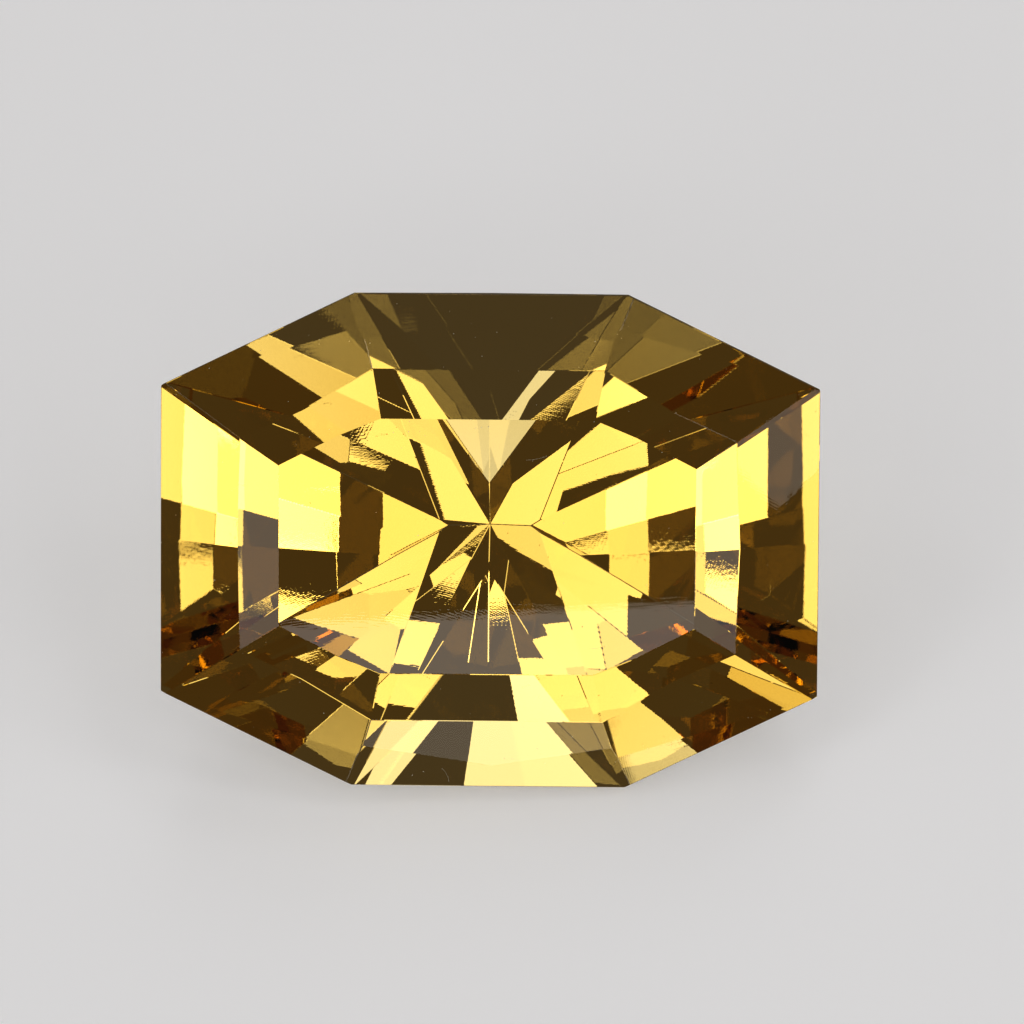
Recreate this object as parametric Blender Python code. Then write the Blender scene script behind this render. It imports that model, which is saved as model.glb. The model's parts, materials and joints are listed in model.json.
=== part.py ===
# A cut citrine: an elongated octagon with a two-step crown and a pavilion that
# runs to a small culet. It lies on one of its pavilion facets, as a loose stone does.
#
# The stone is made as a cutter makes it. A rough block is sliced by one flat plane
# for each facet, in the stone's own frame: X along its length, Y across its width,
# Z out of its table, with the middle of the girdle at the origin.

import math

import bmesh
import bpy
from mathutils import Matrix, Vector
from mathutils.geometry import intersect_line_plane, intersect_plane_plane

MM = 0.001

# Girdle: an octagon with long cut corners
LENGTH = 12.0 * MM
WIDTH = 9.0 * MM
END_SIDE = 5.6 * MM
LONG_SIDE = 5.0 * MM
GIRDLE_THICKNESS = 0.43 * MM

# Crown: one step parts each side in two tiers below the table
TABLE_LENGTH = 7.5 * MM
TABLE_WIDTH = 4.6 * MM
TABLE_END_SIDE = 2.9 * MM
TABLE_LONG_SIDE = 3.86 * MM
TABLE_CORNER = (2.71 * MM, 1.98 * MM)
TABLE_HEIGHT = 1.42 * MM
STEP_LENGTH = 9.32 * MM
STEP_WIDTH = 6.38 * MM
STEP_END_SIDE = 4.06 * MM
STEP_LONG_SIDE = 4.2 * MM
STEP_CORNER = (3.79 * MM, 2.41 * MM)
STEP_END_HEIGHT = 1.09 * MM
STEP_CORNER_HEIGHT = 1.11 * MM
STEP_SIDE_HEIGHT = 1.09 * MM

# The lower tier's middle: a faint ridge at each end, a thin and steep break facet on each long side
MIDDLE_DIP = 0.03 * MM
LONG_BREAK = 0.42 * MM

# Pavilion: the culet and the points where its facets meet
CULET_DEPTH = 5.17 * MM
CULET_SHIFT = (-0.08 * MM, 0.045 * MM)
KEEL_REACH = 0.79 * MM
CORNER_MEET = 0.94 * MM
SIDE_MEET = 0.805 * MM
SIDE_MEET_RISE = 0.778 * MM
SIDE_DIP = 0.24 * MM
END_DIP = 0.06 * MM

# The rough block, and how close a corner may be to a plane and still count as on it
ROUGH = 20.0 * MM
ON_PLANE = 0.00002 * MM

SIGNS = (1, -1)
QUARTERS = [(sx, sy) for sx in SIGNS for sy in SIGNS]
GIRDLE_TOP = GIRDLE_THICKNESS / 2
GIRDLE_BASE = -GIRDLE_THICKNESS / 2


def clear_scene():
    for obj in list(bpy.data.objects):
        bpy.data.objects.remove(obj, do_unlink=True)


def plane(a, b, c):
    """The plane through three points: a point on it, and its normal facing away from the stone's middle."""
    a, b, c = Vector(a), Vector(b), Vector(c)
    normal = (b - a).cross(c - a).normalized()
    if normal.dot(a) < 0:
        normal.negate()
    return a, normal


def girdle_planes():
    """The upright faces: two ends, two long sides and four cut corners."""
    for sign in SIGNS:
        yield Vector((sign * LENGTH / 2, 0, 0)), Vector((sign, 0, 0))
        yield Vector((0, sign * WIDTH / 2, 0)), Vector((0, sign, 0))
    for sx, sy in QUARTERS:
        end = (sx * LENGTH / 2, sy * END_SIDE / 2, 0)
        side = (sx * LONG_SIDE / 2, sy * WIDTH / 2, 0)
        yield plane(end, side, (side[0], side[1], MM))


def crown_planes():
    """The table, then for each quarter two tiers of end, corner, diagonal and side facets."""
    yield Vector((0, 0, TABLE_HEIGHT)), Vector((0, 0, 1))
    for sx, sy in QUARTERS:
        table_end = (sx * TABLE_LENGTH / 2, sy * TABLE_END_SIDE / 2, TABLE_HEIGHT)
        table_corner = (sx * TABLE_CORNER[0], sy * TABLE_CORNER[1], TABLE_HEIGHT)
        table_side = (sx * TABLE_LONG_SIDE / 2, sy * TABLE_WIDTH / 2, TABLE_HEIGHT)
        step_end = (sx * STEP_LENGTH / 2, sy * STEP_END_SIDE / 2, STEP_END_HEIGHT)
        step_corner = (sx * STEP_CORNER[0], sy * STEP_CORNER[1], STEP_CORNER_HEIGHT)
        step_side = (sx * STEP_LONG_SIDE / 2, sy * STEP_WIDTH / 2, STEP_SIDE_HEIGHT)
        girdle_end = (sx * LENGTH / 2, sy * END_SIDE / 2, GIRDLE_TOP)
        girdle_side = (sx * LONG_SIDE / 2, sy * WIDTH / 2, GIRDLE_TOP)
        mid_side = (0, sy * WIDTH / 2, GIRDLE_TOP)

        yield plane(table_end, table_corner, step_end)
        yield plane(table_corner, table_side, step_side)
        yield plane(step_end, step_corner, girdle_end)
        yield plane(girdle_end, girdle_side, step_side)
        if sy > 0:
            yield plane(table_end, (table_end[0], 0, TABLE_HEIGHT), step_end)
        if sx > 0:
            yield plane(table_side, (0, table_side[1], TABLE_HEIGHT), step_side)
            yield plane(step_side, (0, step_side[1], STEP_SIDE_HEIGHT), mid_side)

        side_slope = (STEP_SIDE_HEIGHT - GIRDLE_TOP) / (WIDTH / 2 - STEP_WIDTH / 2)
        end_ridge = (step_end[0], 0, STEP_END_HEIGHT - MIDDLE_DIP)
        side_apex = (0, sy * (WIDTH / 2 - LONG_BREAK), GIRDLE_TOP + side_slope * LONG_BREAK)
        yield plane(girdle_end, end_ridge, (girdle_end[0], 0, GIRDLE_TOP - MIDDLE_DIP))
        yield plane(girdle_side, side_apex, (0, mid_side[1], GIRDLE_TOP - MIDDLE_DIP))


def side_centre(sx, sy):
    """Half of the triangle of facets at the middle of a long side of the pavilion."""
    corner = (sx * LONG_SIDE / 2, sy * WIDTH / 2, GIRDLE_BASE)
    middle = (0, sy * WIDTH / 2, GIRDLE_BASE - SIDE_DIP)
    meet = (CULET_SHIFT[0], CULET_SHIFT[1] + sy * SIDE_MEET, SIDE_MEET_RISE - CULET_DEPTH)
    return plane(corner, middle, meet)


def pavilion_planes():
    """For each quarter: a side centre, the side's main facet, half of an end and a diagonal facet."""
    culet = Vector((CULET_SHIFT[0], CULET_SHIFT[1], -CULET_DEPTH))
    for sx, sy in QUARTERS:
        girdle_end = Vector((sx * LENGTH / 2, sy * END_SIDE / 2, GIRDLE_BASE))
        girdle_side = Vector((sx * LONG_SIDE / 2, sy * WIDTH / 2, GIRDLE_BASE))
        side_meet = culet + Vector((0, sy * SIDE_MEET, SIDE_MEET_RISE))
        side_main = plane(girdle_side, side_meet, culet)

        keel_foot = culet + Vector((sx * KEEL_REACH, 0, 0))
        keel_end = intersect_line_plane(keel_foot, keel_foot + Vector((0, 0, 1)), *side_main)
        end_main = plane(girdle_end, (girdle_end.x, 0, GIRDLE_BASE - END_DIP), keel_end)

        on_rib, along_rib = intersect_plane_plane(*side_main, *end_main)
        meet_x = culet.x + sx * CORNER_MEET
        corner_meet = intersect_line_plane(on_rib, on_rib + along_rib, (meet_x, 0, 0), (1, 0, 0))

        yield side_centre(sx, sy)
        yield side_main
        yield end_main
        yield plane(girdle_end, girdle_side, corner_meet)


def slice_off(bm, point, normal):
    """Cuts away what lies outside one plane, and closes the cut with a flat facet."""
    cut = bmesh.ops.bisect_plane(
        bm,
        geom=bm.verts[:] + bm.edges[:] + bm.faces[:],
        dist=ON_PLANE,
        plane_co=point,
        plane_no=normal,
        clear_outer=True,
    )
    rim = [item for item in cut["geom_cut"] if isinstance(item, bmesh.types.BMEdge)]
    rim = [edge for edge in rim if edge.is_valid and edge.is_boundary]
    if rim:
        bmesh.ops.contextual_create(bm, geom=rim)


def cut_stone():
    bm = bmesh.new()
    bmesh.ops.create_cube(bm, size=ROUGH)
    for facets in (girdle_planes(), crown_planes(), pavilion_planes()):
        for point, normal in facets:
            slice_off(bm, point, normal)
    bmesh.ops.recalc_face_normals(bm, faces=bm.faces[:])
    mesh = bpy.data.meshes.new("gemstone")
    bm.to_mesh(mesh)
    bm.free()
    return mesh


def citrine():
    material = bpy.data.materials.new("citrine")
    material.use_nodes = True
    shader = material.node_tree.nodes["Principled BSDF"]
    shader.inputs["Base Color"].default_value = (0.95, 0.72, 0.16, 1.0)
    shader.inputs["Metallic"].default_value = 0.0
    shader.inputs["Roughness"].default_value = 0.02
    shader.inputs["IOR"].default_value = 1.55
    shader.inputs["Transmission Weight"].default_value = 1.0
    return material


def lay_down(obj, facet_normal):
    """Turns the stone so that this facet faces straight down, its long axis runs along X and its
    table looks towards -Y, and stands it on the origin."""
    turn = facet_normal.rotation_difference(Vector((0, 0, -1))).to_matrix()
    long_axis = turn @ Vector((1, 0, 0))
    turn = Matrix.Rotation(-math.atan2(long_axis.y, long_axis.x), 3, "Z") @ turn
    corners = [turn @ vertex.co for vertex in obj.data.vertices]
    low = [min(corner[i] for corner in corners) for i in range(3)]
    high = [max(corner[i] for corner in corners) for i in range(3)]
    obj.rotation_euler = turn.to_euler()
    obj.location = (-(low[0] + high[0]) / 2, -(low[1] + high[1]) / 2, -low[2])


def main():
    clear_scene()
    gemstone = bpy.data.objects.new("gemstone", cut_stone())
    gemstone.data.materials.append(citrine())
    bpy.context.scene.collection.objects.link(gemstone)
    lay_down(gemstone, side_centre(1, -1)[1])


main()
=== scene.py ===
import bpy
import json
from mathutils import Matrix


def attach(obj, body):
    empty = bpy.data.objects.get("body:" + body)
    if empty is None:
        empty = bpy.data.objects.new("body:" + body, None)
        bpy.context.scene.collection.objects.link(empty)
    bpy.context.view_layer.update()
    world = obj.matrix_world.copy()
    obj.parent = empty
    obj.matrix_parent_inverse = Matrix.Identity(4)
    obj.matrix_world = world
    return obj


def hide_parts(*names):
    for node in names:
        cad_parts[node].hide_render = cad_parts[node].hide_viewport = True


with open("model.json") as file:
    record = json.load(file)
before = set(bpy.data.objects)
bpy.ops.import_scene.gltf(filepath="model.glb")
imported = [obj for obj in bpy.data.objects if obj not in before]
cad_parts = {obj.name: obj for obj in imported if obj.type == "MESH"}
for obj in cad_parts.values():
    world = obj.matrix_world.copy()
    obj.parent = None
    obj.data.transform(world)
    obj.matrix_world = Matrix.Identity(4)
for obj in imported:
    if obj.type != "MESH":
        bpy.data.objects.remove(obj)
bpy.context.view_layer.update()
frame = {"record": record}

import json
import math
import random

import bmesh
import bpy
from mathutils import Matrix, Vector

mm = 0.001
micron = 0.000001
scene = bpy.context.scene

# where the stone lies: its table's normal and its long and short axes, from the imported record
mounts = {mount["name"]: mount for mount in frame["record"]["mounts"]}
tableNormal = Vector(mounts["table"]["axis"]).normalized()
lengthAxis = Vector((tableNormal.z, 0, -tableNormal.x)).normalized()
widthAxis = tableNormal.cross(lengthAxis)
stoneTurn = Matrix((lengthAxis, widthAxis, tableNormal)).transposed()  # stone axes to the row's axes


def girdleCentre():  # middle of the widest outline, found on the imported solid
    corners = [stoneTurn.transposed() @ v.co for v in bpy.data.objects["gemstone"].data.vertices]
    lowX, highX = min(c.x for c in corners), max(c.x for c in corners)
    lowY, highY = min(c.y for c in corners), max(c.y for c in corners)
    nearEnd = 0.01 * mm
    rim = [c.z for c in corners if min(c.x - lowX, highX - c.x) < nearEnd]
    return stoneTurn @ Vector(((lowX + highX) / 2, (lowY + highY) / 2, (min(rim) + max(rim)) / 2))


stoneCentre = girdleCentre()


def stoneDirection(x, y, z):  # a direction given in the stone's own axes
    return (stoneTurn @ Vector((x, y, z))).normalized()


class Value:  # a node socket that takes part in Python arithmetic, each step one Math node
    def __init__(self, tree, socket):
        self.tree, self.socket = tree, socket

    def maths(self, operation, first, second):
        node = self.tree.nodes.new("ShaderNodeMath")
        node.operation = operation
        for slot, item in zip(node.inputs, (first, second)):
            if isinstance(item, Value):
                self.tree.links.new(item.socket, slot)
            else:
                slot.default_value = item
        return Value(self.tree, node.outputs[0])

    def __add__(self, other):
        return self.maths("ADD", self, other)

    def __radd__(self, other):
        return self.maths("ADD", other, self)

    def __mul__(self, other):
        return self.maths("MULTIPLY", self, other)

    def __rmul__(self, other):
        return self.maths("MULTIPLY", other, self)


class Finish:  # a material and the one way to add a node to it
    def __init__(self, name):
        self.material = bpy.data.materials.new(name)
        self.material.use_nodes = True
        self.tree = self.material.node_tree
        self.shader = self.tree.nodes["Principled BSDF"]
        self.output = self.tree.nodes["Material Output"]

    def node(self, kind, settings=None, sockets=None, out=0):
        node = self.tree.nodes.new(kind)
        for key, item in (settings or {}).items():
            setattr(node, key, item)
        for key, item in (sockets or {}).items():
            if isinstance(item, Value):
                self.tree.links.new(item.socket, node.inputs[key])
            else:
                node.inputs[key].default_value = item
        return Value(self.tree, node.outputs[out])

    def plain(self, **values):  # constants straight on the shader's own sockets
        for key, item in values.items():
            self.shader.inputs[key.replace("_", " ")].default_value = item

    def feed(self, name, value):
        self.tree.links.new(value.socket, self.shader.inputs[name])


citrineLook = {
    "ior": 1.553,
    "roughness": 0.0,
    "absorbColour": (0.97, 0.82, 0.25, 1.0),  # each colour absorbs by 1 minus this, times the density
    "absorbDensity": 200.0,                   # per metre
    "lineScale": 14.0,                        # polishing lines
    "lineTurn": (0.3, 0.9, 0.5),
    "lineStretch": (120, 1000, 1000),         # per metre: longer along the first axis
    "arcScale": 9.0,                          # the coarser curved marks of the lap
    "arcStretch": (1000, 1000, 1000),
    "arcShift": (3.0, 2.0, 4.0),              # sets their centre outside the stone
    "arcShare": 0.15,
    "lineHeight": 0.06 * micron,
}


def citrineFinish():
    look = citrineLook
    f = Finish("citrine")
    f.plain(Base_Color=(1, 1, 1, 1), Metallic=0, Roughness=look["roughness"], IOR=look["ior"],
            Transmission_Weight=1)
    place = f.node("ShaderNodeTexCoord", out=3)
    along = f.node("ShaderNodeMapping", sockets={
        "Vector": place, "Rotation": look["lineTurn"], "Scale": look["lineStretch"]})
    lines = f.node("ShaderNodeTexNoise", sockets={
        "Vector": along, "Scale": look["lineScale"], "Detail": 1.0, "Roughness": 0.5})
    curved = f.node("ShaderNodeMapping", sockets={
        "Vector": place, "Location": look["arcShift"], "Scale": look["arcStretch"]})
    arcs = f.node("ShaderNodeTexWave", {"wave_type": "RINGS", "rings_direction": "SPHERICAL"}, {
        "Vector": curved, "Scale": look["arcScale"], "Distortion": 1.5, "Detail": 1.0})
    marks = lines * (1 - look["arcShare"]) + arcs * look["arcShare"]
    f.feed("Normal", f.node("ShaderNodeBump", sockets={
        "Strength": 1.0, "Distance": look["lineHeight"], "Height": marks}))
    volume = f.node("ShaderNodeVolumeAbsorption", sockets={
        "Color": look["absorbColour"], "Density": look["absorbDensity"]})
    f.tree.links.new(volume.socket, f.output.inputs["Volume"])
    return f.material


stoneShape = {
    "edgeWidth": 0.018 * mm,   # the narrow flat that wear and polish leave along each facet edge
    "onPlane": 0.00002 * mm,
    "flatEnough": math.radians(0.02),
}


def polishedStone():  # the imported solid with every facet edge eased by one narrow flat
    shape = stoneShape
    bm = bmesh.new()
    bm.from_mesh(bpy.data.objects["gemstone"].data)
    bmesh.ops.remove_doubles(bm, verts=bm.verts[:], dist=shape["onPlane"])
    bmesh.ops.dissolve_limit(bm, angle_limit=shape["flatEnough"], verts=bm.verts[:], edges=bm.edges[:])
    bm.normal_update()
    cuts = []
    for edge in bm.edges:
        first, second = [face.normal for face in edge.link_faces]
        spread = first.angle(second)
        middle = (first + second).normalized()
        depth = shape["edgeWidth"] / 2 * math.tan(spread / 2)
        cuts.append((edge.verts[0].co - middle * depth, middle))
    for point, normal in cuts:
        cut = bmesh.ops.bisect_plane(
            bm, geom=bm.verts[:] + bm.edges[:] + bm.faces[:], dist=shape["onPlane"],
            plane_co=point, plane_no=normal, clear_outer=True)
        rim = [g for g in cut["geom_cut"] if isinstance(g, bmesh.types.BMEdge)]
        rim = [edge for edge in rim if edge.is_valid and edge.is_boundary]
        if rim:
            bmesh.ops.contextual_create(bm, geom=rim)
    bmesh.ops.recalc_face_normals(bm, faces=bm.faces[:])
    mesh = bpy.data.meshes.new("polished_stone")
    bm.to_mesh(mesh)
    bm.free()
    stone = bpy.data.objects.new("polished_stone", mesh)
    scene.collection.objects.link(stone)
    mesh.materials.append(citrineFinish())
    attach(stone, "root")
    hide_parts("gemstone")
    print("stone:", len(mesh.polygons), "faces")
    return stone


dustLook = {
    "count": 150,
    "corners": 5,
    "size": (0.004 * mm, 0.010 * mm),
    "stretch": (0.6, 1.6),
    "ragged": 0.7,               # the least share of its size that a corner stands out by
    "height": 0.7,
    "hairs": 5,
    "hairLength": (0.15 * mm, 0.5 * mm),
    "hairWidth": 0.003 * mm,
    "hairHeight": 0.8,           # as a share of its width
    "hairBend": 0.3,
    "hairSteps": 12,
    "colour": (0.75, 0.73, 0.66, 1.0),
    "seed": 11,
}


def crownSpot(rng, mesh, faces, weights):  # a random point on the crown, with the facet's normal
    face = rng.choices(faces, weights)[0]
    corners = [mesh.vertices[i].co for i in face.vertices]
    first = rng.randrange(1, len(corners) - 1)
    across, along = sorted((rng.random(), rng.random()))
    spot = corners[0] * across + corners[first] * (along - across) + corners[first + 1] * (1 - along)
    return spot, face.normal.copy()


def dust(stone):  # fine specks and a few hair-thin fibres that lie on the crown, as one mesh
    look = dustLook
    rng = random.Random(look["seed"])
    mesh = stone.data
    upward, leastArea = 0.6, 0.05 * mm * mm   # crown facets, and none of the narrow edge flats
    faces = [f for f in mesh.polygons if f.normal.dot(tableNormal) > upward and f.area > leastArea]
    weights = [face.area for face in faces]
    verts, polys = [], []
    for _ in range(look["count"]):
        spot, normal = crownSpot(rng, mesh, faces, weights)
        side = normal.orthogonal().normalized()
        other = normal.cross(side)
        reach = rng.uniform(*look["size"])
        turn, stretch = rng.uniform(0, math.tau), rng.uniform(*look["stretch"])
        start, sides = len(verts), look["corners"]
        for corner in range(sides):
            angle = turn + math.tau * corner / sides
            wide = reach * rng.uniform(look["ragged"], 1.0)
            verts.append(spot + side * wide * stretch * math.cos(angle) + other * wide * math.sin(angle))
        verts.append(spot + normal * reach * look["height"])
        polys.append([start + corner for corner in reversed(range(sides))])
        polys += [(start + corner, start + (corner + 1) % sides, start + sides) for corner in range(sides)]
    for _ in range(look["hairs"]):
        spot, normal = crownSpot(rng, mesh, faces, weights)
        addHair(rng, spot, normal, verts, polys)
    specks = bpy.data.meshes.new("dust")
    specks.from_pydata(verts, [], polys)
    specks.update()
    f = Finish("dust")
    f.plain(Base_Color=look["colour"], Roughness=0.8)
    specks.materials.append(f.material)
    obj = bpy.data.objects.new("dust", specks)
    scene.collection.objects.link(obj)
    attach(obj, "root")
    print("dust:", look["count"], "specks and", look["hairs"], "hairs")


def addHair(rng, spot, normal, verts, polys):  # a thin three-sided fibre, gently bent, along one facet
    look = dustLook
    angle = rng.uniform(0, math.tau)
    side = normal.orthogonal().normalized()
    other = normal.cross(side)
    heading = side * math.cos(angle) + other * math.sin(angle)
    across = normal.cross(heading)
    length, bend = rng.uniform(*look["hairLength"]), rng.uniform(-look["hairBend"], look["hairBend"])
    steps = look["hairSteps"]
    start = len(verts)
    for step in range(steps + 1):
        part = step / steps - 0.5
        centre = spot + heading * length * part + across * length * bend * part * part
        for offset in (across / 2, -across / 2, normal * look["hairHeight"]):
            verts.append(centre + offset * look["hairWidth"])
    for step in range(steps):
        for corner in range(3):
            one, two = start + step * 3 + corner, start + step * 3 + (corner + 1) % 3
            polys.append((one, two, two + 3, one + 3))
    polys.append((start + 2, start + 1, start))
    polys.append((start + steps * 3, start + steps * 3 + 1, start + steps * 3 + 2))


studio = {
    "floorColour": (0.72, 0.72, 0.73, 1.0),
    "floorGlow": (0.22, 0.22, 0.224, 1.0),   # the floor is a sheet lit from below, as on a light table
    "floorSize": 0.5,
    "roomColour": (0.06, 0.05, 0.04, 1.0),
    "lightDistance": 0.30,
}

# soft boxes in level bands round the stone, with gaps between them that leave facets dark
# each band: elevation, half width and half height in degrees, brightness, then azimuths from +X
lightBands = {
    "under the sheet": (-25, 15, 10, 0.7, (205, 265)),
    "low": (15, 14, 6, 0.9, (240, 315, 355)),
    "middle": (30, 13, 7, 1.1, (210, 242, 310, 345)),
    "upper": (45, 8, 7, 0.9, (85, 205, 315, 350)),
    "high": (59, 9, 6, 0.9, (350, 50, 90, 185, 290)),
    "top": (75, 6, 5, 1.2, (125,)),
    "wash": (38, 15, 12, 0.5, (80, 180)),
}

# boxes round the direction that the table mirrors to the lens (azimuth, elevation)
# each box: steps across and up from there, half width, half height, brightness
mirrorMiddle = (271, 38)
mirrorRing = {
    "below": (0, -3.5, 10, 3, 1.4),
    "left": (-8, 0, 3, 4, 1.0),
    "right": (9, 0, 3, 3, 2.4),
    "above": (0, 6.5, 7, 2, 0.8),
}


def floor():
    half = studio["floorSize"] / 2
    mesh = bpy.data.meshes.new("floor")
    corners = [(-half, -half, 0), (half, -half, 0), (half, half, 0), (-half, half, 0)]
    mesh.from_pydata(corners, [], [(0, 1, 2, 3)])
    sheet = bpy.data.objects.new("floor", mesh)
    scene.collection.objects.link(sheet)
    f = Finish("pale_floor")
    f.plain(Base_Color=studio["floorColour"], Roughness=0.7, Emission_Color=studio["floorGlow"],
            Emission_Strength=1.0)
    mesh.materials.append(f.material)
    sheet.visible_transmission = False   # inside the stone the dim room shows instead
    sheet.visible_glossy = False
    print("floor laid")


def softBox(name, azimuth, elevation, halfWidth, halfHeight, brightness):  # angles in degrees
    reach = studio["lightDistance"]
    flat = math.cos(math.radians(elevation))
    away = Vector((
        flat * math.cos(math.radians(azimuth)),
        flat * math.sin(math.radians(azimuth)),
        math.sin(math.radians(elevation))))
    lamp = bpy.data.lights.new("box " + name, "AREA")
    lamp.shape = "RECTANGLE"
    lamp.size = 2 * reach * math.tan(math.radians(halfWidth))
    lamp.size_y = 2 * reach * math.tan(math.radians(halfHeight))
    lamp.energy = brightness * math.pi * lamp.size * lamp.size_y   # the watts for this brightness
    rig = bpy.data.objects.new("box " + name, lamp)
    scene.collection.objects.link(rig)
    rig.location = stoneCentre + away * reach
    rig.rotation_euler = away.to_track_quat("Z", "Y").to_euler()
    rig.visible_camera = False


def lights():
    world = bpy.data.worlds.new("studio")
    world.use_nodes = True
    world.node_tree.nodes["Background"].inputs["Color"].default_value = studio["roomColour"]
    scene.world = world
    for name, (elevation, halfWidth, halfHeight, brightness, azimuths) in lightBands.items():
        for azimuth in azimuths:
            softBox(name, azimuth, elevation, halfWidth, halfHeight, brightness)
    azimuth, elevation = mirrorMiddle
    for name, (across, up, halfWidth, halfHeight, brightness) in mirrorRing.items():
        softBox("ring " + name, azimuth + across, elevation + up, halfWidth, halfHeight, brightness)
    print("lights set")


view = {
    "frameWidth": 18.70 * mm,     # what the photo's frame spans at the girdle
    "distance": 107.0 * mm,
    "tilt": (0.027, 0.088),       # the camera stands off the table's normal by this, towards +x and +y
    "aim": (0.406 * mm, 0.5205 * mm),
    "roll": math.radians(0.5),
    "sensor": 36.0,
    "clip": (0.01, 10),
}


def camera():
    toCamera = stoneDirection(*view["tilt"], 1)
    right = stoneDirection(math.cos(view["roll"]), math.sin(view["roll"]), 0)
    right = (right - toCamera * right.dot(toCamera)).normalized()
    up = toCamera.cross(right)
    data = bpy.data.cameras.new("camera")
    data.sensor_width = view["sensor"]
    data.lens = view["sensor"] * view["distance"] / view["frameWidth"]
    data.clip_start, data.clip_end = view["clip"]
    rig = bpy.data.objects.new("camera", data)
    scene.collection.objects.link(rig)
    target = stoneCentre + stoneTurn @ Vector((*view["aim"], 0))
    turn = Matrix((right, up, toCamera)).transposed().to_4x4()
    rig.matrix_world = Matrix.Translation(target + toCamera * view["distance"]) @ turn
    scene.camera = rig
    print("camera set")


picture = {
    "bounces": 16,
    "glossyBounces": 12,
    "transform": "Standard",
    "look": "Medium High Contrast",
    "exposure": 0.26,
}


def renderSettings():
    scene.cycles.max_bounces = picture["bounces"]
    scene.cycles.transmission_bounces = picture["bounces"]
    scene.cycles.glossy_bounces = picture["glossyBounces"]
    scene.cycles.caustics_refractive = True
    scene.cycles.caustics_reflective = True
    scene.view_settings.view_transform = picture["transform"]
    scene.view_settings.look = picture["look"]
    scene.view_settings.exposure = picture["exposure"]
    print("render settings done")


dust(polishedStone())
floor()
lights()
camera()
renderSettings()
